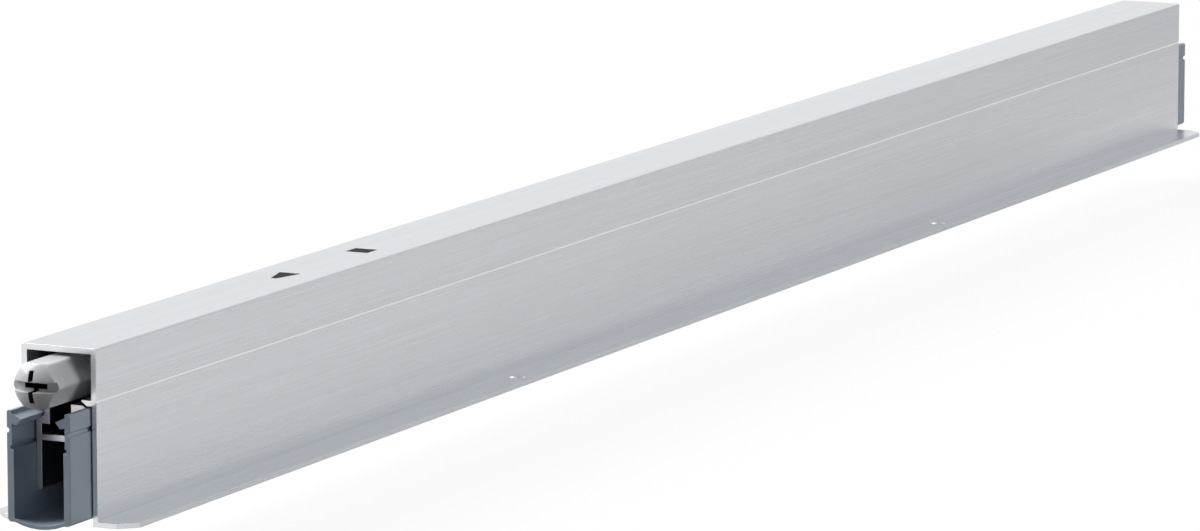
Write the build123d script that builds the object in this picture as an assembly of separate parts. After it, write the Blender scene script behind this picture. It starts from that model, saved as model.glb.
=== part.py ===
from build123d import *
import math
import os

# Automatic door bottom seal, which lets a silicone profile down when its button is pushed.
# X runs along the door with the button at the -X end, Y through the door and Z up.
# The origin is in the middle of the four screw holes, on the upper faces of the flanges,
# which bear on the underside of the door. Sizes are in millimetres, and a depth is
# measured down from the top of the housing.

os.makedirs("parts", exist_ok=True)

# Housing, an extruded channel with a flange along each side
housing_length = 500.0
housing_width = 14.1
housing_rise = 29.0
top_wall = 1.0
upper_wall = 1.0
lower_wall = 0.88
outer_corner_radius = 0.35
ledge_depth = 8.7
ledge_root_thickness = 1.02
ledge_tip_thickness = 0.22
ledge_gap = 8.4
ledge_slope_reach = 1.0
mark_line_depth = 8.85
mark_line_width = 0.36
mark_line_cut = 0.18
flange_width = 26.8
flange_thickness = 0.9
flange_corner_cut = 2.85

# Screw holes through the flanges
screw_spacing_x = 200.0
screw_spacing_y = 21.0
screw_hole_radius = 1.5

# Windows punched through the top of the housing, placed from its button end
arrow_place = 75.0
arrow_length = 6.6
arrow_tip_width = 1.1
arrow_base_width = 4.4
square_place = 106.4
square_length = 4.2
square_width = 4.4

# Silicone seal, a U closed below by a thin rounded foot
seal_overhang = 7.0
seal_width = 11.9
seal_to_ledge_gap = 0.28
seal_upper_wall = 0.98
seal_lower_wall = 1.25
seal_top_rounding = 0.4
seal_foot_clearance = 0.28
seal_foot_thickness = 0.6
seal_foot_width = 9.3
seal_foot_sag = 0.92
seal_corner_radius = 0.65
outer_notch_drop = 3.35
outer_notch_radius = 0.46
inner_notch_drop = 6.2
inner_notch_radius = 0.37

# Lips inside the top of the seal, placed down from the top of the seal
lip_top_drop = 0.6
lip_tip_drop = 1.4
lip_heel_drop = 2.5
lip_root_drop = 2.25
lip_heel_reach = 0.82
lip_tip_gap = 0.15

# Carrier profile, with a groove for the lips and a slot for the clips
carrier_setback = 0.3
carrier_slot_width = 4.1
carrier_slot_height = 1.8
carrier_head_rise = 0.3
carrier_head_edge = 0.15
carrier_head_slope_drop = 0.4
carrier_head_slope_reach = 0.65
head_to_seal_gap = 0.12
neck_thickness = 1.0
groove_floor_thickness = 0.8
groove_round_drop = 0.4
carrier_web_thickness = 1.0
leg_thickness = 1.0
leg_length = 8.4
leg_to_seal_gap = 0.1

# Release button, a hexagonal prism with a domed end and a driver slot
button_across_corners = 8.76
button_edge_rounding = 0.9
button_axis_depth = 5.45
button_length = 18.0
button_entry = 8.5
button_dome_height = 3.0
button_dome_width = 9.0
dome_edge_radius = 2.2
driver_slot_height = 1.7
driver_slot_depth = 2.05
driver_cross_thickness = 0.85
driver_cross_height = 5.4
driver_cross_width = 4.2
driver_cross_depth = 8.0
insert_radius = 2.3
insert_length = 5.0

# Push rod and the ring that stops it
rod_radius = 1.5
rod_tail = 8.0
ring_groove_cut = 0.3
ring_thickness = 0.8
ring_width = 1.5
ring_opening = 1.6

# Rail under the top of the housing
rail_width = 10.0
rail_thickness = 1.0
rail_margin = 3.0

# Blocks in the upper chamber
guide_length = 46.0
guide_lead = 6.0
block_length = 16.0
block_corner_cut = 0.6
spring_channel_width = 8.0
wall_under_rod = 0.75
lug_recess = 0.15

# Leaf springs, from a slider on the rod to an anchor on the rail
block_pitch = 110.0
near_slider_place = 124.0
far_slider_place = 320.0
spring_width = 7.6
spring_thickness = 0.4
spring_bow = 1.25
spring_hold = 12.0
spring_middle_flat = 12.0

# Clips that hang the carrier on the leaf springs
clip_length = 10.0
clip_foot_height = 1.5
clip_side_gap = 0.1

# Moulded pegs, staked over on the springs and flush in the rail
peg_radius = 0.8
peg_head_radius = 1.4
peg_head_height = 0.4
peg_spacing = 5.2
peg_inset = 6.0
rail_peg_radius = 1.0
rail_peg_spacing = 10.0

# Set screws that clamp the sliders to the rod
set_screw_radius = 1.5
set_screw_place = 4.5
set_screw_recess = 0.3
set_screw_socket = 1.5
set_screw_socket_depth = 1.5

# Clearances
lug_gap = 0.1
running_gap = 0.06
slide_gap = 0.1
lift_gap = 0.05
pressed_gap = 0.02

# Depths that follow from the sizes above
ledge_underside_depth = ledge_depth + ledge_root_thickness
housing_depth = housing_rise + flange_thickness
rail_underside_depth = top_wall + rail_thickness
seal_top_depth = ledge_underside_depth + seal_to_ledge_gap
seal_foot_depth = housing_depth - seal_foot_clearance
seal_wall_end_depth = seal_foot_depth - seal_foot_sag
lip_top_depth = seal_top_depth + lip_top_drop
lip_tip_depth = seal_top_depth + lip_tip_drop
lip_heel_depth = seal_top_depth + lip_heel_drop
lip_root_depth = seal_top_depth + lip_root_drop
carrier_head_depth = seal_top_depth - carrier_head_rise
head_edge_depth = carrier_head_depth + carrier_head_slope_drop
neck_end_depth = lip_heel_depth + groove_floor_thickness
web_top_depth = neck_end_depth + carrier_slot_height
web_end_depth = web_top_depth + carrier_web_thickness
leg_end_depth = web_end_depth + leg_length
spring_end_depth = button_axis_depth + rod_radius + wall_under_rod
clip_top_depth = spring_end_depth + spring_bow + spring_thickness

# Half widths that follow from the sizes above
chamber_half = housing_width / 2 - upper_wall
lower_half = housing_width / 2 - lower_wall
seal_half = seal_width / 2
seal_upper_half = seal_half - seal_upper_wall
seal_lower_half = seal_half - seal_lower_wall
slot_half = carrier_slot_width / 2
neck_half = slot_half + neck_thickness
head_half = seal_upper_half - head_to_seal_gap
leg_half = seal_lower_half - leg_to_seal_gap
block_half = chamber_half - slide_gap
clip_half = slot_half - clip_side_gap
clip_foot_half = leg_half - leg_thickness - clip_side_gap

# Places along X that follow from the sizes above
near_end = -housing_length / 2
far_end = housing_length / 2
button_back = near_end + button_entry
button_tip = button_back - button_length
guide_start = near_end + arrow_place - guide_lead
near_slider_start = near_end + near_slider_place
far_slider_start = near_end + far_slider_place
near_anchor_start = near_slider_start + block_pitch
far_anchor_start = far_slider_start + block_pitch
ring_start = far_anchor_start + block_length
rod_end = ring_start + ring_thickness + rod_tail
rod_axis_height = housing_rise - button_axis_depth


def height(depth):
    """The Z of a depth below the top of the housing."""
    return housing_rise - depth


def line_through(points):
    """A run of straight lines through points given as Y and depth."""
    return Polyline(*[(y, height(depth)) for y, depth in points])


def arc_through(start, middle, end):
    """An arc through three points given as Y and depth."""
    return ThreePointArc(*[(y, height(depth)) for y, depth in (start, middle, end)])


def both_sides(half, start, end):
    """A profile along X, from its half on the +Y side, which is a closed set of lines."""
    face = make_face(half)
    face += mirror(face, about=Plane.YZ)
    return extrude(Plane.YZ.offset(start) * face, amount=end - start, dir=(1, 0, 0))


def closed_through(points):
    """A closed run of straight lines through points given as Y and depth."""
    return line_through(points + points[:1])


def strip_between(start, end, half_width, depth, end_depth):
    """A box between two places along X and two depths, centred on Y = 0."""
    middle = Pos((start + end) / 2, 0, (height(depth) + height(end_depth)) / 2)
    return middle * Box(end - start, 2 * half_width, end_depth - depth)


def rod_between(start, end, radius):
    """A cylinder on the axis of the push rod."""
    middle = Pos((start + end) / 2, 0, rod_axis_height)
    return middle * Rot(0, 90, 0) * Cylinder(radius, end - start)


def post(x, y, radius, depth, end_depth):
    """An upright cylinder between two depths."""
    middle = Pos(x, y, (height(depth) + height(end_depth)) / 2)
    return middle * Cylinder(radius, end_depth - depth)


def window_columns(gap, depth, end_depth):
    """Upright columns in the shapes of the two windows, smaller by a gap all round."""
    arrow_start = near_end + arrow_place + gap
    arrow_end = near_end + arrow_place + arrow_length - gap
    tip = arrow_tip_width / 2 - gap
    base = arrow_base_width / 2 - gap
    corners = [(arrow_start, tip), (arrow_end, base), (arrow_end, -base), (arrow_start, -tip)]
    arrow = make_face(Polyline(*corners, corners[0]))
    square_middle = near_end + square_place + square_length / 2
    square = Pos(square_middle, 0) * Rectangle(square_length - 2 * gap, square_width - 2 * gap)
    foot = Pos(0, 0, height(end_depth))
    return [extrude(foot * face, amount=end_depth - depth, dir=(0, 0, 1)) for face in (arrow, square)]


def make_housing():
    """The channel with its inner ledges, flanges, screw holes and windows."""
    side = housing_width / 2
    walls = [(0, 0), (side, 0), (side, housing_rise), (0, housing_rise)]
    shell = both_sides(closed_through(walls), near_end, far_end)
    top_edges = shell.edges().filter_by(Axis.X).group_by(Axis.Z)[-1].sort_by(Axis.Y)
    shell = fillet([top_edges[0], top_edges[-1]], outer_corner_radius)
    plate = Rectangle(housing_length, flange_width)
    plate = chamfer(plate.vertices(), flange_corner_cut)
    shell += extrude(plate, amount=-flange_thickness)
    ledge_tip = ledge_gap / 2
    cavity = [
        (0, top_wall),
        (chamber_half, top_wall),
        (chamber_half, ledge_depth),
        (ledge_tip, ledge_depth),
        (ledge_tip, ledge_depth + ledge_tip_thickness),
        (ledge_tip + ledge_slope_reach, ledge_underside_depth),
        (lower_half, ledge_underside_depth),
        (lower_half, housing_depth),
        (0, housing_depth),
    ]
    shell -= both_sides(closed_through(cavity), near_end, far_end)
    mark_line = [
        (side, mark_line_depth - mark_line_width / 2),
        (side, mark_line_depth + mark_line_width / 2),
        (side - mark_line_cut, mark_line_depth),
    ]
    shell -= both_sides(closed_through(mark_line), near_end, far_end)
    for x in (-screw_spacing_x / 2, screw_spacing_x / 2):
        for y in (-screw_spacing_y / 2, screw_spacing_y / 2):
            shell -= post(x, y, screw_hole_radius, housing_rise, housing_depth)
    for column in window_columns(0, 0, top_wall):
        shell -= column
    return shell


def make_seal():
    """The silicone profile, with a lip inside each wall and a notch each side of it."""
    rounding_middle = seal_top_rounding * (1 - 0.5**0.5)
    corner_middle = seal_corner_radius * (1 - 0.5**0.5)
    foot_half = seal_foot_width / 2
    lip_tip = neck_half + lip_tip_gap
    outer_top = seal_top_depth + seal_top_rounding
    outer_end = seal_wall_end_depth - seal_corner_radius
    foot_inside = seal_foot_depth - seal_foot_thickness
    wall_inside_end = seal_wall_end_depth - seal_foot_thickness
    wall = line_through(
        [
            (foot_half, seal_wall_end_depth),
            (seal_half - seal_corner_radius, seal_wall_end_depth),
        ]
    )
    wall += arc_through(
        (seal_half - seal_corner_radius, seal_wall_end_depth),
        (seal_half - corner_middle, seal_wall_end_depth - corner_middle),
        (seal_half, outer_end),
    )
    wall += line_through([(seal_half, outer_end), (seal_half, outer_top)])
    wall += arc_through(
        (seal_half, outer_top),
        (seal_half - rounding_middle, seal_top_depth + rounding_middle),
        (seal_half - seal_top_rounding, seal_top_depth),
    )
    wall += line_through(
        [
            (seal_half - seal_top_rounding, seal_top_depth),
            (seal_upper_half, seal_top_depth),
            (seal_upper_half, lip_top_depth),
            (lip_tip, lip_tip_depth),
            (seal_upper_half - lip_heel_reach, lip_heel_depth),
            (seal_upper_half, lip_root_depth),
            (seal_upper_half, seal_top_depth + inner_notch_drop),
            (seal_lower_half, seal_top_depth + inner_notch_drop),
            (seal_lower_half, wall_inside_end),
        ]
    )
    foot_bend = foot_half / 2
    sag_share = 1 - (foot_bend / foot_half) ** 2
    wall += arc_through(
        (seal_lower_half, wall_inside_end),
        (seal_lower_half / 2, wall_inside_end + sag_share * seal_foot_sag),
        (0, foot_inside),
    )
    wall += line_through([(0, foot_inside), (0, seal_foot_depth)])
    wall += arc_through(
        (0, seal_foot_depth),
        (foot_bend, seal_wall_end_depth + sag_share * seal_foot_sag),
        (foot_half, seal_wall_end_depth),
    )
    start = near_end - seal_overhang
    end = far_end + seal_overhang
    seal = both_sides(wall, start, end)
    notches = (
        (seal_half, outer_notch_drop, outer_notch_radius),
        (seal_upper_half, inner_notch_drop, inner_notch_radius),
    )
    for y, drop, radius in notches:
        for side in (-1, 1):
            place = Pos(0, side * y, height(seal_top_depth + drop))
            seal -= place * Rot(0, 90, 0) * Cylinder(radius, end - start)
    return seal


def make_carrier():
    """The aluminium profile inside the seal: heads, lip grooves, clip slot, web and legs."""
    leg_inside = leg_half - leg_thickness
    heel = seal_upper_half - lip_heel_reach
    lip_slope = (lip_heel_depth - lip_root_depth) / lip_heel_reach
    groove_mouth_depth = lip_heel_depth - lip_slope * (leg_half - heel)
    leg_round = leg_end_depth - leg_thickness / 2
    profile = line_through(
        [
            (leg_inside, leg_round),
            (leg_inside, web_end_depth),
            (0, web_end_depth),
            (0, web_top_depth),
            (leg_inside, web_top_depth),
            (leg_inside, neck_end_depth),
            (slot_half, neck_end_depth),
            (slot_half, carrier_head_depth),
            (head_half - carrier_head_slope_reach, carrier_head_depth),
            (head_half, head_edge_depth),
            (head_half, head_edge_depth + carrier_head_edge),
            (neck_half, lip_tip_depth - groove_round_drop),
            (neck_half, lip_tip_depth + groove_round_drop),
            (heel, lip_heel_depth),
            (leg_half, groove_mouth_depth),
            (leg_half, leg_round),
        ]
    )
    profile += arc_through(
        (leg_half, leg_round),
        (leg_half - leg_thickness / 2, leg_end_depth),
        (leg_inside, leg_round),
    )
    return both_sides(profile, near_end + carrier_setback, far_end - carrier_setback)


def on_circle(middle, radius, angle):
    """A point on a circle, at an angle in radians from the first axis of its plane."""
    return (middle[0] + radius * math.cos(angle), middle[1] + radius * math.sin(angle))


def dome_arcs():
    """The side of the dome as X and radius: a broad arc in front, and a tighter arc around its edge."""
    dome_radius = button_dome_width / 2
    edge_middle = (button_tip + button_dome_height, dome_radius - dome_edge_radius)
    across = edge_middle[1]
    along = button_dome_height
    front_radius = (dome_edge_radius**2 - along**2 - across**2) / (2 * (dome_edge_radius - along))
    front_middle = (button_tip + front_radius, 0)
    meeting = math.atan2(across, along - front_radius)
    front_half = (meeting + math.pi) / 2
    edge_half = (meeting + math.pi / 2) / 2
    meeting_point = on_circle(edge_middle, dome_edge_radius, meeting)
    front = ThreePointArc((button_tip, 0), on_circle(front_middle, front_radius, front_half), meeting_point)
    edge_end = (edge_middle[0], dome_radius)
    edge = ThreePointArc(meeting_point, on_circle(edge_middle, dome_edge_radius, edge_half), edge_end)
    return front + edge


def make_button():
    """The hexagonal button, with rounded edges, a dome in front and a slot for a driver."""
    hexagon = RegularPolygon(button_across_corners / 2, 6)
    hexagon = fillet(hexagon.vertices(), button_edge_rounding)
    section = Plane.YZ.offset(button_tip) * Pos(0, rod_axis_height) * hexagon
    prism = extrude(section, amount=button_length, dir=(1, 0, 0))
    dome_radius = button_dome_width / 2
    dome_end = button_tip + button_dome_height
    side_view = Plane(origin=(0, 0, rod_axis_height), x_dir=(1, 0, 0), z_dir=(0, -1, 0))
    sides = Polyline((dome_end, dome_radius), (button_back, dome_radius), (button_back, 0), (button_tip, 0))
    envelope = side_view * make_face(dome_arcs() + sides)
    axis = Axis((0, 0, rod_axis_height), (1, 0, 0))
    button = prism & revolve(envelope, axis)
    cuts = (
        (driver_slot_depth, button_across_corners, driver_slot_height),
        (driver_cross_depth, driver_cross_width, driver_cross_thickness),
        (driver_cross_depth, driver_cross_thickness, driver_cross_height),
    )
    for depth, width, tall in cuts:
        button -= Pos(button_tip + depth / 2, 0, rod_axis_height) * Box(depth, width, tall)
    return button - rod_between(button_back - insert_length, button_back, insert_radius)


def make_insert():
    """The threaded bush moulded into the back of the button."""
    start = button_back - insert_length
    bush = rod_between(start, button_back, insert_radius - pressed_gap)
    return bush - rod_between(start, button_back, rod_radius + pressed_gap)


def make_rod():
    """The push rod, with a groove for its stop ring."""
    rod = rod_between(button_back - insert_length + lift_gap, rod_end, rod_radius)
    groove = rod_between(ring_start, ring_start + ring_thickness, rod_radius)
    core = rod_between(ring_start, ring_start + ring_thickness, rod_radius - ring_groove_cut)
    return rod - (groove - core)


def make_ring():
    """The open ring that holds the rod against the far anchor."""
    end = ring_start + ring_thickness
    inner = rod_radius - ring_groove_cut + pressed_gap
    ring = rod_between(ring_start, end, inner + ring_width)
    ring -= rod_between(ring_start, end, inner)
    opening = Box(ring_thickness, ring_opening, inner + ring_width)
    return ring - Pos(ring_start + ring_thickness / 2, 0, rod_axis_height - (inner + ring_width) / 2) * opening


def make_rail():
    """The strip that carries the guide and the anchors."""
    rail_end = far_anchor_start + block_length + rail_margin
    rail = strip_between(guide_start - rail_margin, rail_end, rail_width / 2, top_wall, rail_underside_depth)
    for column in window_columns(0, top_wall, rail_underside_depth):
        rail -= column
    for x in guide_peg_places() + anchor_peg_places(near_anchor_start) + anchor_peg_places(far_anchor_start):
        rail -= post(x, 0, rail_peg_radius + pressed_gap, top_wall, rail_underside_depth)
    return rail


def make_block(start, length, top_depth, bore_gap):
    """A moulded block over the ledges, with a channel below for a spring and a bore for the rod."""
    end_depth = ledge_depth - lift_gap
    block = strip_between(start, start + length, block_half, top_depth, end_depth)
    block = chamfer(block.edges().filter_by(Axis.Z), block_corner_cut)
    block -= strip_between(start, start + length, spring_channel_width / 2, spring_end_depth, end_depth)
    return block - rod_between(start, start + length, rod_radius + bore_gap)


def rail_peg(x):
    """A peg up from a block into the rail."""
    return post(x, 0, rail_peg_radius, top_wall + lift_gap, rail_underside_depth)


def spring_pegs(x):
    """Two pegs down from a block through the end of a spring, with their staked heads."""
    underside = spring_end_depth + spring_thickness
    pegs = Part()
    for y in peg_rows():
        pegs += post(x, y, peg_radius, spring_end_depth - wall_under_rod, underside)
        pegs += post(x, y, peg_head_radius, underside, underside + peg_head_height)
    return pegs


def make_guide():
    """The guide block, whose lugs sit in the windows of the rail and the housing."""
    guide = make_block(guide_start, guide_length, rail_underside_depth, running_gap)
    for lug in window_columns(lug_gap, lug_recess, rail_underside_depth):
        guide += lug
    for x in guide_peg_places():
        guide += rail_peg(x)
    return guide


def make_anchor(start):
    """A block pegged to the rail, which holds the fixed end of a spring."""
    anchor = make_block(start, block_length, rail_underside_depth, running_gap)
    for x in anchor_peg_places(start):
        anchor += rail_peg(x)
    return anchor + spring_pegs(start + peg_inset)


def make_slider(start):
    """A block clamped to the rod, which pushes the moving end of a spring."""
    slider = make_block(start, block_length, rail_underside_depth + lift_gap, pressed_gap)
    slider += spring_pegs(start + block_length - peg_inset)
    return slider - set_screw_body(start, 0, set_screw_radius + pressed_gap)


def set_screw_body(start, recess, radius):
    """A cylinder along Y from the -Y side of a slider to the rod."""
    outer = -block_half + recess
    inner = -rod_radius - pressed_gap
    middle = Pos(start + set_screw_place, (outer + inner) / 2, rod_axis_height)
    return middle * Rot(90, 0, 0) * Cylinder(radius, inner - outer)


def make_set_screw(start):
    """A headless screw with a hexagon socket, which clamps a slider to the rod."""
    screw = set_screw_body(start, set_screw_recess, set_screw_radius)
    mouth = -block_half + set_screw_recess
    face = Plane(origin=(start + set_screw_place, mouth, rod_axis_height), z_dir=(0, 1, 0))
    socket = face * RegularPolygon(set_screw_socket / 2, 6, major_radius=False)
    return screw - extrude(socket, amount=set_screw_socket_depth, dir=(0, 1, 0))


def peg_rows():
    """The Y of the two pegs at each end of a spring."""
    return (-peg_spacing / 2, peg_spacing / 2)


def guide_peg_places():
    """The X of the pegs between the two lugs of the guide."""
    arrow_end = near_end + arrow_place + arrow_length
    middle = (arrow_end + near_end + square_place) / 2
    return [middle - rail_peg_spacing / 2, middle + rail_peg_spacing / 2]


def anchor_peg_places(start):
    """The X of the pegs between an anchor and the rail."""
    middle = start + block_length / 2
    return [middle - rail_peg_spacing / 2, middle + rail_peg_spacing / 2]


def spring_middle(slider_start):
    """The X of the middle of the free length of a spring."""
    return slider_start + (block_pitch + block_length) / 2


def make_spring(slider_start):
    """A leaf spring: flat ends, and a bow down to a flat middle over its clip."""
    start = slider_start + block_length - spring_hold
    end = slider_start + block_pitch + spring_hold
    free_start = slider_start + block_length
    free_end = slider_start + block_pitch
    middle = spring_middle(slider_start)
    flat_start = middle - spring_middle_flat / 2
    flat_end = middle + spring_middle_flat / 2
    top = height(spring_end_depth)
    low = top - spring_bow
    down = spring_thickness
    side_lines = Polyline((start, top), (free_start, top), (flat_start, low), (flat_end, low), (free_end, top))
    side_lines += Polyline((free_end, top), (end, top), (end, top - down), (free_end, top - down))
    side_lines += Polyline((free_end, top - down), (flat_end, low - down), (flat_start, low - down))
    side_lines += Polyline((flat_start, low - down), (free_start, top - down), (start, top - down), (start, top))
    side_view = Plane(origin=(0, spring_width / 2, 0), x_dir=(1, 0, 0), z_dir=(0, -1, 0))
    spring = extrude(side_view * make_face(side_lines), amount=spring_width, dir=(0, -1, 0))
    hole = peg_radius + pressed_gap
    underside = spring_end_depth + spring_thickness
    for x in (slider_start + block_length - peg_inset, slider_start + block_pitch + peg_inset):
        for y in peg_rows():
            spring -= post(x, y, hole, spring_end_depth, underside)
    return spring - post(middle, 0, hole, spring_end_depth, clip_top_depth)


def make_clip(slider_start):
    """A clip under the middle of a spring, whose foot slides in the slot of the carrier."""
    middle = spring_middle(slider_start)
    start = middle - clip_length / 2
    end = middle + clip_length / 2
    spring_top = clip_top_depth - spring_thickness
    clip = strip_between(start, end, clip_half, clip_top_depth, neck_end_depth)
    clip += strip_between(start, end, clip_foot_half, neck_end_depth, neck_end_depth + clip_foot_height)
    clip += post(middle, 0, peg_radius, spring_top, neck_end_depth)
    return clip + post(middle, 0, peg_head_radius, spring_top - peg_head_height, spring_top)


set_screws = [make_set_screw(start) for start in (near_slider_start, far_slider_start)]
pieces = {
    "housing": make_housing(),
    "carrier_profile": make_carrier(),
    "silicone_seal": make_seal(),
    "release_button": make_button(),
    "button_insert": make_insert(),
    "push_rod": make_rod(),
    "rod_stop_ring": make_ring(),
    "mechanism_rail": make_rail(),
    "guide_block": make_guide(),
    "near_anchor_block": make_anchor(near_anchor_start),
    "far_anchor_block": make_anchor(far_anchor_start),
    "near_slider": make_slider(near_slider_start),
    "far_slider": make_slider(far_slider_start),
    "near_leaf_spring": make_spring(near_slider_start),
    "far_leaf_spring": make_spring(far_slider_start),
    "near_spring_clip": make_clip(near_slider_start),
    "far_spring_clip": make_clip(far_slider_start),
    "slider_set_screws": Compound(children=[screw.solid() for screw in set_screws]),
}
for name, shape in pieces.items():
    export_step(shape, f"parts/{name}.step")
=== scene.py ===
import math

import bmesh
import bpy
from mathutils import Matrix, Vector


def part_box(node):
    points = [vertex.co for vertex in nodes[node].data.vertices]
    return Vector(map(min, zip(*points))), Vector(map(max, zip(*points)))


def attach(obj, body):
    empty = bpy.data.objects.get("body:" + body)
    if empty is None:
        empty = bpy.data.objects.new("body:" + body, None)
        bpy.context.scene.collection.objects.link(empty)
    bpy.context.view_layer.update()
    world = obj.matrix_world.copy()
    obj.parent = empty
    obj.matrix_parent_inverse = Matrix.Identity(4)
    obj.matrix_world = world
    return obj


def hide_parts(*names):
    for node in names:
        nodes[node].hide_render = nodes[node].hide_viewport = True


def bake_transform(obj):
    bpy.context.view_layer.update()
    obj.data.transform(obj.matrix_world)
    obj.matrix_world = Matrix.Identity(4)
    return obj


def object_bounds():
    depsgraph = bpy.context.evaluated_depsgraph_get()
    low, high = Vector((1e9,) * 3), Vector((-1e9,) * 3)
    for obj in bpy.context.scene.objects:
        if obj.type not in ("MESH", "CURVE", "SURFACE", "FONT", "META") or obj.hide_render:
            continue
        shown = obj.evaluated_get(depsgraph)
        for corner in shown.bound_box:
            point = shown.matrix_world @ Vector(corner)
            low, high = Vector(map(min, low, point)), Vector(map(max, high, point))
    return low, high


# Automatic door bottom seal: a flanged aluminium channel, a grey silicone seal on its carrier,
# and a hexagonal release button. Lengths are in metres.
MM = 0.001

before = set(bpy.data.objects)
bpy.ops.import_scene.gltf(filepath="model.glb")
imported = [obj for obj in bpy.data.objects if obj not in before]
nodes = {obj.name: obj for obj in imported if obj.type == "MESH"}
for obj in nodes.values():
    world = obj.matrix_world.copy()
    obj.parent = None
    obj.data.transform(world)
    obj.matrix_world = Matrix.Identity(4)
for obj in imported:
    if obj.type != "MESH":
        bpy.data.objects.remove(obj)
cad_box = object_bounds()

# Camera, at the place and angle of the photograph
CAMERA_PLACE = Vector((-1.2348, -0.5681, 0.2295))
CAMERA_HEADING = math.radians(25.477)
CAMERA_TILT = math.radians(9.372)
CAMERA_LENS = 209.49
SENSOR_WIDTH = 36.0
CAMERA_NEAR = 0.05
CAMERA_FAR = 50.0


def add_camera():
    data = bpy.data.cameras.new("camera")
    data.lens = CAMERA_LENS
    data.sensor_width = SENSOR_WIDTH
    data.clip_start = CAMERA_NEAR
    data.clip_end = CAMERA_FAR
    camera = bpy.data.objects.new("camera", data)
    bpy.context.collection.objects.link(camera)
    camera.location = CAMERA_PLACE
    camera.rotation_euler = (math.pi / 2 - CAMERA_TILT, 0, CAMERA_HEADING - math.pi / 2)
    bpy.context.scene.camera = camera


# Sockets of the mix node that take and give colours
MIX_FIRST_COLOUR = 6
MIX_SECOND_COLOUR = 7
MIX_RESULT_COLOUR = 2

# The middle of a noise's values, which a span stretches
NOISE_START = 0.3
NOISE_END = 0.7

# Radii that soften the edges, and depths of the finest relief
BEVEL_SAMPLES = 6
DRAWN_EDGE = 0.06 * MM
MOULDED_EDGE = 0.18 * MM
SILICONE_EDGE = 0.15 * MM
STEEL_EDGE = 0.08 * MM
SAW_MARK_DEPTH = 0.0006 * MM
DIE_LINE_DEPTH = 0.006 * MM
ROLLED_LINE_DEPTH = 0.003 * MM


class Shader:
    """A node material that is built by short calls."""

    def __init__(self, name):
        self.material = bpy.data.materials.new(name)
        self.material.use_nodes = True
        self.tree = self.material.node_tree
        self.surface = self.tree.nodes["Principled BSDF"]
        self.output = self.tree.nodes["Material Output"]

    def add(self, kind, **settings):
        made = self.tree.nodes.new(kind)
        for key, value in settings.items():
            setattr(made, key, value)
        return made

    def link(self, source, target):
        self.tree.links.new(source, target)

    def set(self, **values):
        """Sets sockets of the surface, with underscores for the spaces in their names."""
        for key, value in values.items():
            self.surface.inputs[key.replace("_", " ")].default_value = value
        return self

    def place(self, scale):
        """Object coordinates, stretched by a scale along each axis."""
        coordinates = self.add("ShaderNodeTexCoord")
        mapping = self.add("ShaderNodeMapping")
        mapping.inputs["Scale"].default_value = scale
        self.link(coordinates.outputs["Object"], mapping.inputs["Vector"])
        return mapping.outputs["Vector"]

    def noise(self, scale, detail=3.0, roughness=0.5):
        """A noise whose grain is one over the scale, in metres, along each axis."""
        texture = self.add("ShaderNodeTexNoise")
        texture.inputs["Scale"].default_value = 1.0
        texture.inputs["Detail"].default_value = detail
        texture.inputs["Roughness"].default_value = roughness
        self.link(self.place(scale), texture.inputs["Vector"])
        return texture.outputs["Fac"]

    def span(self, factor, low, high, start=NOISE_START, end=NOISE_END):
        """Maps a factor from start to end onto low to high."""
        mapped = self.add("ShaderNodeMapRange")
        mapped.inputs["From Min"].default_value = start
        mapped.inputs["From Max"].default_value = end
        mapped.inputs["To Min"].default_value = low
        mapped.inputs["To Max"].default_value = high
        self.link(factor, mapped.inputs["Value"])
        return mapped.outputs["Result"]

    def blend(self, factor, first, second):
        """A colour between two, by a factor."""
        mixed = self.add("ShaderNodeMix", data_type="RGBA")
        self.link(factor, mixed.inputs["Factor"])
        for index, value in ((MIX_FIRST_COLOUR, first), (MIX_SECOND_COLOUR, second)):
            socket = mixed.inputs[index]
            if isinstance(value, tuple):
                socket.default_value = (*value, 1.0)
            else:
                self.link(value, socket)
        return mixed.outputs[MIX_RESULT_COLOUR]

    def maths(self, operation, first, second):
        """The result of an operation on two sockets or numbers."""
        made = self.add("ShaderNodeMath", operation=operation)
        for socket, value in zip(made.inputs, (first, second)):
            if isinstance(value, (int, float)):
                socket.default_value = value
            else:
                self.link(value, socket)
        return made.outputs[0]

    def soft_edges(self, radius):
        """Normals that round the sharp edges by a radius."""
        rounded = self.add("ShaderNodeBevel", samples=BEVEL_SAMPLES)
        rounded.inputs["Radius"].default_value = radius
        return rounded.outputs["Normal"]

    def bump(self, height, distance, normal):
        """Adds relief of a depth to the surface, over its softened normals."""
        relief = self.add("ShaderNodeBump")
        relief.inputs["Distance"].default_value = distance
        relief.inputs["Strength"].default_value = 1.0
        self.link(height, relief.inputs["Height"])
        self.link(normal, relief.inputs["Normal"])
        self.link(relief.outputs["Normal"], self.surface.inputs["Normal"])


def toned(colour, factor):
    """A colour that is darker or lighter by a factor."""
    return tuple(factor * part for part in colour)


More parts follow.
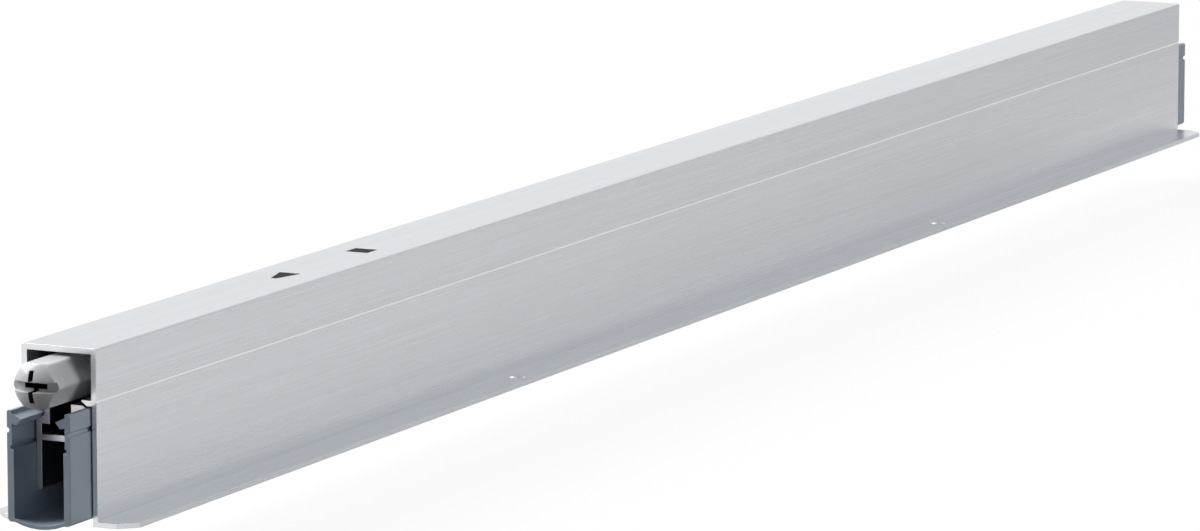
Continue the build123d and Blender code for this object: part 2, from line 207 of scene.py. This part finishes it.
def drawn_aluminium(name, colour, roughness, line_depth):
    """Satin aluminium with fine lines along X, which spread its reflections across them."""
    shader = Shader(name)
    lines = shader.noise((6.0, 9000.0, 9000.0), detail=4.0, roughness=0.6)
    broad = shader.noise((2.5, 500.0, 500.0))
    fine = shader.noise((25.0, 2400.0, 2400.0))
    both = shader.span(shader.maths("ADD", broad, fine), 0.0, 1.0, start=0.7, end=1.3)
    streaks = shader.blend(both, toned(colour, 0.965), toned(colour, 1.035))
    shader.link(streaks, shader.surface.inputs["Base Color"])
    satin = shader.span(lines, roughness - 0.05, roughness + 0.05)
    shader.link(satin, shader.surface.inputs["Roughness"])
    shader.bump(lines, line_depth, shader.soft_edges(DRAWN_EDGE))
    across = shader.add("ShaderNodeTangent", direction_type="RADIAL", axis="X")
    shader.link(across.outputs[0], shader.surface.inputs["Tangent"])
    return shader.set(Metallic=1.0, Anisotropic=0.35).material


def cut_aluminium(name, colour, roughness, edge_radius):
    """Bare aluminium, with the fine marks of a saw or a drill."""
    shader = Shader(name)
    marks = shader.noise((400.0, 900.0, 7000.0))
    sharp_marks = shader.span(marks, 0.0, 1.0, start=0.35, end=0.65)
    sawn = shader.blend(sharp_marks, toned(colour, 0.96), colour)
    shader.link(sawn, shader.surface.inputs["Base Color"])
    satin = shader.span(marks, roughness - 0.03, roughness + 0.03)
    shader.link(satin, shader.surface.inputs["Roughness"])
    shader.bump(marks, SAW_MARK_DEPTH, shader.soft_edges(edge_radius))
    return shader.set(Metallic=1.0).material


def moulded_plastic(name, colour, roughness, grain_depth, gloss_level=0.5):
    """Moulded plastic with a fine spark-eroded grain."""
    shader = Shader(name)
    grain = shader.noise((3500.0, 3500.0, 3500.0))
    cloud = shader.noise((120.0, 120.0, 120.0), detail=2.0)
    tint = shader.blend(shader.span(cloud, 0.0, 1.0), toned(colour, 0.94), colour)
    shader.link(tint, shader.surface.inputs["Base Color"])
    gloss = shader.span(grain, roughness - 0.05, roughness + 0.05)
    shader.link(gloss, shader.surface.inputs["Roughness"])
    shader.bump(grain, grain_depth, shader.soft_edges(MOULDED_EDGE))
    return shader.set(Specular_IOR_Level=gloss_level).material


def extruded_silicone(name, colour):
    """Matt silicone with faint die lines along X and a soft bloom."""
    shader = Shader(name)
    lines = shader.noise((8.0, 2500.0, 2500.0))
    bloom = shader.noise((90.0, 160.0, 160.0), detail=4.0, roughness=0.6)
    tint = shader.blend(shader.span(bloom, 0.0, 1.0), toned(colour, 0.93), toned(colour, 1.06))
    shader.link(tint, shader.surface.inputs["Base Color"])
    gloss = shader.span(bloom, 0.46, 0.58)
    shader.link(gloss, shader.surface.inputs["Roughness"])
    shader.bump(lines, DIE_LINE_DEPTH, shader.soft_edges(SILICONE_EDGE))
    return shader.material


def steel(name, colour, roughness):
    """Plated or rolled steel with fine lines."""
    shader = Shader(name)
    lines = shader.noise((60.0, 4000.0, 4000.0), detail=4.0)
    tint = shader.blend(shader.span(lines, 0.0, 1.0), toned(colour, 0.9), colour)
    shader.link(tint, shader.surface.inputs["Base Color"])
    gloss = shader.span(lines, roughness - 0.06, roughness + 0.06)
    shader.link(gloss, shader.surface.inputs["Roughness"])
    shader.bump(lines, ROLLED_LINE_DEPTH, shader.soft_edges(STEEL_EDGE))
    return shader.set(Metallic=1.0).material


# Finishes, each with its colour and roughness, and then its depth of lines or grain, or its edge radius
SHALLOW_LINES = 0.0005 * MM
DEEPER_LINES = 0.001 * MM
SMOOTH_GRAIN = 0.002 * MM
COARSE_GRAIN = 0.004 * MM
SAWN_EDGE = 0.08 * MM
DRILLED_EDGE = 0.6 * MM
SCRIBED_EDGE = 0.02 * MM
# A near-white metal colour that paints highlights on the screw-hole walls and the scribed lines
PAINTED_HIGHLIGHT_METAL = (0.97, 0.975, 0.98)
HOUSING = drawn_aluminium("housing_aluminium", (0.705, 0.727, 0.757), 0.3, DEEPER_LINES)
CARRIER = drawn_aluminium("carrier_aluminium", (0.42, 0.432, 0.448), 0.34, SHALLOW_LINES)
HOUSING_CUT = cut_aluminium("housing_cut", (0.79, 0.8, 0.815), 0.22, SAWN_EDGE)
# Painted highlight: the drilled walls of the screw holes are bare metal, made near white so that the
# holes read bright
HOLE_PAINTED_HIGHLIGHT = cut_aluminium("hole_painted_highlight", PAINTED_HIGHLIGHT_METAL, 0.5, DRILLED_EDGE)
# Painted highlight: near-white bare metal on the sloping flanks of the scribed lines, which paints them
# as bright lines
SCRIBE_PAINTED_HIGHLIGHT = cut_aluminium("scribe_painted_highlight", PAINTED_HIGHLIGHT_METAL, 0.22, SCRIBED_EDGE)
CARRIER_CUT = cut_aluminium("carrier_cut", (0.66, 0.67, 0.69), 0.3, SAWN_EDGE)
SILICONE = extruded_silicone("grey_silicone", (0.355, 0.413, 0.482))
BUTTON = moulded_plastic("button_plastic", (0.68, 0.685, 0.695), 0.17, SMOOTH_GRAIN)
# Painted shade: a near-black colour on the deep faces of the button's driver recess
RECESS_PAINTED_SHADE = moulded_plastic("button_recess_painted_shade", (0.05, 0.05, 0.052), 0.5, COARSE_GRAIN, 0.2)
DARK_PLASTIC = moulded_plastic("dark_plastic", (0.013, 0.014, 0.015), 0.75, COARSE_GRAIN, 0.15)
SLIDER_PLASTIC = moulded_plastic("slider_plastic", (0.02, 0.021, 0.022), 0.6, COARSE_GRAIN, 0.25)
BRASS = steel("insert_brass", (0.62, 0.46, 0.2), 0.28)
ROD_STEEL = steel("rod_steel", (0.55, 0.56, 0.58), 0.25)
RAIL_STEEL = steel("rail_steel", (0.5, 0.51, 0.53), 0.32)
SPRING_STEEL = steel("spring_steel", (0.38, 0.39, 0.43), 0.28)
SCREW_STEEL = steel("screw_steel", (0.55, 0.56, 0.57), 0.3)

node_finishes = {
    "housing": HOUSING,
    "carrier_profile": CARRIER,
    "silicone_seal": SILICONE,
    "release_button": BUTTON,
    "button_insert": BRASS,
    "push_rod": ROD_STEEL,
    "rod_stop_ring": ROD_STEEL,
    "mechanism_rail": RAIL_STEEL,
    "guide_block": DARK_PLASTIC,
    "near_anchor_block": DARK_PLASTIC,
    "far_anchor_block": DARK_PLASTIC,
    "near_slider": SLIDER_PLASTIC,
    "far_slider": SLIDER_PLASTIC,
    "near_spring_clip": SLIDER_PLASTIC,
    "far_spring_clip": SLIDER_PLASTIC,
    "near_leaf_spring": SPRING_STEEL,
    "far_leaf_spring": SPRING_STEEL,
    "slider_set_screws": SCREW_STEEL,
}


def dress_nodes():
    """Gives each solid its finish."""
    for name, material in node_finishes.items():
        mesh = nodes[name].data
        mesh.materials.clear()
        mesh.materials.append(material)


# Places of the added finishes in the list of a piece, after its first one
END_FINISH = 1
HOLE_HIGHLIGHT_FINISH = 2
SCRIBE_HIGHLIGHT_FINISH = 3
RECESS_SHADE_FINISH = 1

# How far a face looks along an axis, from 0 across it to 1 along it
FACES_AXIS = 0.9
FACES_ACROSS = 0.3
FACES_SQUARELY_ACROSS = 0.05
# The slopes of the scribed flanks that get the painted highlight
SCRIBE_HIGHLIGHT_SLOPE = (0.2, 0.8)

# Housing: its ends, and its screw holes and scribed lines, which get painted highlights
HOUSING_END = 249.0 * MM
SCREW_PLACE = 100.0 * MM
SCREW_REACH = 1.6 * MM
FLANGE_START = 8.0 * MM
SCRIBE_HEIGHT = 20.15 * MM
SCRIBE_BOTTOM = 6.87 * MM
SCRIBE_REACH = 0.3 * MM
SCRIBE_LIFT = 0.16 * MM
SAME_PLACE = 0.02 * MM

# Button: its axis, and its driver recess, whose deep faces get painted shade
BUTTON_AXIS = 23.55 * MM
RECESS_START = -257.4 * MM
RECESS_END = -251.0 * MM
RECESS_REACH = 2.75 * MM
ARM_HALF = 0.45 * MM
SLOT_HALF = 0.86 * MM

# Guide: its two lugs, above the rail
RAIL_TOP = 28.0 * MM
LUG_START = RAIL_TOP + 0.2 * MM
LUG_TOP = 28.98 * MM
LUG_GROWTH = 0.09 * MM
ARROW_MIDDLE = -171.7 * MM
SQUARE_MIDDLE = -141.5 * MM
BETWEEN_LUGS = -155.0 * MM

# Leaf springs: the slider of each, and the places of the bow from it
NEAR_SLIDER_START = -126.0 * MM
FAR_SLIDER_START = 70.0 * MM
BOW_START = 22.0 * MM
BOW_END = 110.0 * MM
SPRING_SLICES = 36
PAST_THE_END = 1.0 * MM


def copy_of_node(node, name):
    """A new object with a copy of a solid's mesh and its finish."""
    piece = bpy.data.objects.new(name, nodes[node].data.copy())
    bpy.context.collection.objects.link(piece)
    return piece


def make_housing():
    """The housing, with bare cut ends, screw holes whose walls get a painted highlight, and a scribed
    line along each side whose sloping flanks are painted bright as a highlight.
    """
    housing = copy_of_node("housing", "channel_housing")
    for vertex in housing.data.vertices:
        is_deep = abs(abs(vertex.co.y) - SCRIBE_BOTTOM) < SAME_PLACE
        if is_deep and abs(vertex.co.z - SCRIBE_HEIGHT) < SAME_PLACE:
            vertex.co.z += SCRIBE_LIFT
    housing.data.materials.append(HOUSING_CUT)
    housing.data.materials.append(HOLE_PAINTED_HIGHLIGHT)
    housing.data.materials.append(SCRIBE_PAINTED_HIGHLIGHT)
    for face in housing.data.polygons:
        place = face.center
        slope = abs(face.normal.z)
        is_end = abs(face.normal.x) > FACES_AXIS and abs(place.x) > HOUSING_END
        is_hole_highlight = abs(abs(place.x) - SCREW_PLACE) < SCREW_REACH and abs(place.y) > FLANGE_START
        is_scribe_highlight = abs(place.z - SCRIBE_HEIGHT) < SCRIBE_REACH
        if is_end:
            face.material_index = END_FINISH
        # Painted highlight on the walls of the screw holes
        if is_hole_highlight and slope < FACES_ACROSS:
            face.material_index = HOLE_HIGHLIGHT_FINISH
        # Painted highlight on the sloping flanks of the scribed lines
        if is_scribe_highlight and SCRIBE_HIGHLIGHT_SLOPE[0] < slope < SCRIBE_HIGHLIGHT_SLOPE[1]:
            face.material_index = SCRIBE_HIGHLIGHT_FINISH
    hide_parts("housing")
    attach(housing, "housing_unit")


def make_button():
    """The release button, with a dark colour painted as shade on the deep cross of its driver recess."""
    button = copy_of_node("release_button", "hexagonal_button")
    button.data.materials.append(RECESS_PAINTED_SHADE)
    for face in button.data.polygons:
        place = face.center
        height = abs(place.z - BUTTON_AXIS)
        is_shaded_inside = abs(place.y) < RECESS_REACH and height < RECESS_REACH and place.x < RECESS_END
        is_upright_arm = abs(place.y) < ARM_HALF and height > SLOT_HALF
        is_shaded_arm_wall = is_upright_arm and abs(face.normal.x) < FACES_SQUARELY_ACROSS
        # Painted shade on the deep faces of the driver recess
        if is_shaded_inside and (place.x > RECESS_START or is_shaded_arm_wall):
            face.material_index = RECESS_SHADE_FINISH
    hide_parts("release_button")
    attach(button, "button_unit")


def make_carrier():
    """The carrier profile, with bare sawn ends."""
    carrier = copy_of_node("carrier_profile", "seal_carrier")
    carrier.data.materials.append(CARRIER_CUT)
    for face in carrier.data.polygons:
        if abs(face.normal.x) > FACES_AXIS:
            face.material_index = END_FINISH
    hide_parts("carrier_profile")
    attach(carrier, "seal_unit")


def make_guide():
    """The guide block, with its two lugs filling the windows, flush with the top of the housing."""
    guide = copy_of_node("guide_block", "guide_with_lugs")
    for vertex in guide.data.vertices:
        if vertex.co.z > LUG_START:
            middle = ARROW_MIDDLE if vertex.co.x < BETWEEN_LUGS else SQUARE_MIDDLE
            vertex.co.x += math.copysign(LUG_GROWTH, vertex.co.x - middle)
            vertex.co.y += math.copysign(LUG_GROWTH, vertex.co.y)
            vertex.co.z = LUG_TOP
    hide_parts("guide_block")
    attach(guide, "housing_unit")


def cut_piece(node, name, start, end, slices):
    """The part of a solid between two places along X, sliced across so that it can bend."""
    piece = copy_of_node(node, name)
    shape = bmesh.new()
    shape.from_mesh(piece.data)
    for place, away in ((start, -1.0), (end, 1.0)):
        geometry = shape.verts[:] + shape.edges[:] + shape.faces[:]
        cut = bmesh.ops.bisect_plane(
            shape, geom=geometry, plane_co=(place, 0, 0), plane_no=(away, 0, 0), clear_outer=True
        )
        rim = [item for item in cut["geom_cut"] if isinstance(item, bmesh.types.BMEdge)]
        bmesh.ops.holes_fill(shape, edges=rim)
    for index in range(1, slices):
        place = start + (end - start) * index / slices
        geometry = shape.verts[:] + shape.edges[:] + shape.faces[:]
        bmesh.ops.bisect_plane(shape, geom=geometry, plane_co=(place, 0, 0), plane_no=(1, 0, 0))
    shape.to_mesh(piece.data)
    shape.free()
    return piece


def make_spring(node, name, slider_start):
    """A leaf spring in three parts: its end on the slider, which rides with the push unit, and two halves
    sliced across.
    """
    free_start = slider_start + BOW_START
    free_end = slider_start + BOW_END
    middle = (free_start + free_end) / 2
    box_low, box_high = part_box(node)
    slider_end = cut_piece(node, name + "_slider_end", box_low.x - PAST_THE_END, free_start, 1)
    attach(slider_end, "push_unit")
    near_half = cut_piece(node, name + "_near_half", free_start, middle, SPRING_SLICES)
    far_half = cut_piece(node, name + "_far_half", middle, box_high.x + PAST_THE_END, SPRING_SLICES)
    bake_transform(near_half)
    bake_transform(far_half)
    for piece in (slider_end, near_half, far_half):
        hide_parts(node)


# Stage: a floor and a room that look white to the camera and grey to the metal that mirrors them
FLOOR_HALF = 12.0
FLOOR_GAP = 12.1 * MM
FLOOR_SHADE = 0.07
FLOOR_SEEN_SHADE = 0.9
FLOOR_MIRRORED_SHADE = 0.65
FLOOR_SEEN_WHITENESS = 0.93
FLOOR_MIRRORED_WHITENESS = 0.08
FLOOR_ROUGHNESS = 0.9
ROOM_COLOUR = (0.97, 0.98, 1.0, 1.0)
ROOM_LIT = 0.05
ROOM_SEEN = 1.0
ROOM_MIRRORED = 0.4


def add_floor():
    """A plain white floor where the lowered seal meets it, which keeps the shadow of the object."""
    level = cad_box[0].z - FLOOR_GAP
    mesh = bpy.data.meshes.new("floor")
    corners = [(-1, -1), (1, -1), (1, 1), (-1, 1)]
    places = [(FLOOR_HALF * x, FLOOR_HALF * y, level) for x, y in corners]
    mesh.from_pydata(places, [], [(0, 1, 2, 3)])
    floor = bpy.data.objects.new("floor", mesh)
    bpy.context.collection.objects.link(floor)
    shader = Shader("floor_white")
    shader.set(Roughness=FLOOR_ROUGHNESS, Specular_IOR_Level=0.0)
    path = shader.add("ShaderNodeLightPath")
    direct = path.outputs["Is Camera Ray"]
    mirrored = shader.maths("MAXIMUM", path.outputs["Is Glossy Ray"], path.outputs["Is Transmission Ray"])
    shade = shader.blend(mirrored, (FLOOR_SHADE,) * 3, (FLOOR_MIRRORED_SHADE,) * 3)
    shade = shader.blend(direct, shade, (FLOOR_SEEN_SHADE,) * 3)
    shader.link(shade, shader.surface.inputs["Base Color"])
    glow = shader.add("ShaderNodeEmission")
    seen = shader.maths("MULTIPLY", direct, FLOOR_SEEN_WHITENESS)
    share = shader.maths("MAXIMUM", seen, shader.maths("MULTIPLY", mirrored, FLOOR_MIRRORED_WHITENESS))
    mixed = shader.add("ShaderNodeMixShader")
    shader.link(share, mixed.inputs[0])
    shader.link(shader.surface.outputs[0], mixed.inputs[1])
    shader.link(glow.outputs[0], mixed.inputs[2])
    shader.link(mixed.outputs[0], shader.output.inputs[0])
    mesh.materials.append(shader.material)


def add_area_light(name, place, target, width, height, power):
    """A soft rectangular light of a size in metres and a power in watts, which points at a target."""
    data = bpy.data.lights.new(name, "AREA")
    data.shape = "RECTANGLE"
    data.size = width
    data.size_y = height
    data.energy = power
    light = bpy.data.objects.new(name, data)
    bpy.context.collection.objects.link(light)
    light.location = place
    light.rotation_euler = (Vector(target) - Vector(place)).to_track_quat("-Z", "Y").to_euler()


def add_room():
    """A white room, which metal mirrors as pale grey and which adds little light of its own."""
    world = bpy.data.worlds.new("room")
    bpy.context.scene.world = world
    world.use_nodes = True
    tree = world.node_tree
    room = tree.nodes["Background"]
    room.inputs["Color"].default_value = ROOM_COLOUR
    path = tree.nodes.new("ShaderNodeLightPath")
    total = None
    for ray, level in (
        ("Is Camera Ray", ROOM_SEEN),
        ("Is Glossy Ray", ROOM_MIRRORED),
        ("Is Transmission Ray", ROOM_MIRRORED),
    ):
        share = tree.nodes.new("ShaderNodeMath")
        share.operation = "MULTIPLY_ADD"
        tree.links.new(path.outputs[ray], share.inputs[0])
        share.inputs[1].default_value = level - ROOM_LIT
        if total is None:
            share.inputs[2].default_value = ROOM_LIT
        else:
            tree.links.new(total, share.inputs[2])
        total = share.outputs[0]
    tree.links.new(total, room.inputs["Strength"])


def light_stage():
    """Soft studio light: lamps above and in front, and two wide ones behind that the metal mirrors."""
    add_area_light("lamp_above", (-0.4, 0.96, 1.08), (-0.2, 0, 0), width=1.5, height=1.3, power=43.0)
    add_area_light("lamp_front", (0.3, -2.0, 0.8), (-0.1, 0, 0), width=1.2, height=1.2, power=20.0)
    add_area_light("lamp_back", (2.2, 1.3, 1.2), (0, 1.3, 1.2), width=3.4, height=2.2, power=13.2)
    add_area_light("lamp_side", (2.2, -1.7, 1.2), (0, -1.7, 1.2), width=2.4, height=2.2, power=5.4)


add_camera()
dress_nodes()
make_housing()
make_carrier()
make_button()
make_guide()
make_spring("near_leaf_spring", "near_spring", NEAR_SLIDER_START)
make_spring("far_leaf_spring", "far_spring", FAR_SLIDER_START)
add_floor()
add_room()
light_stage()
bpy.context.scene.view_settings.view_transform = "Standard"
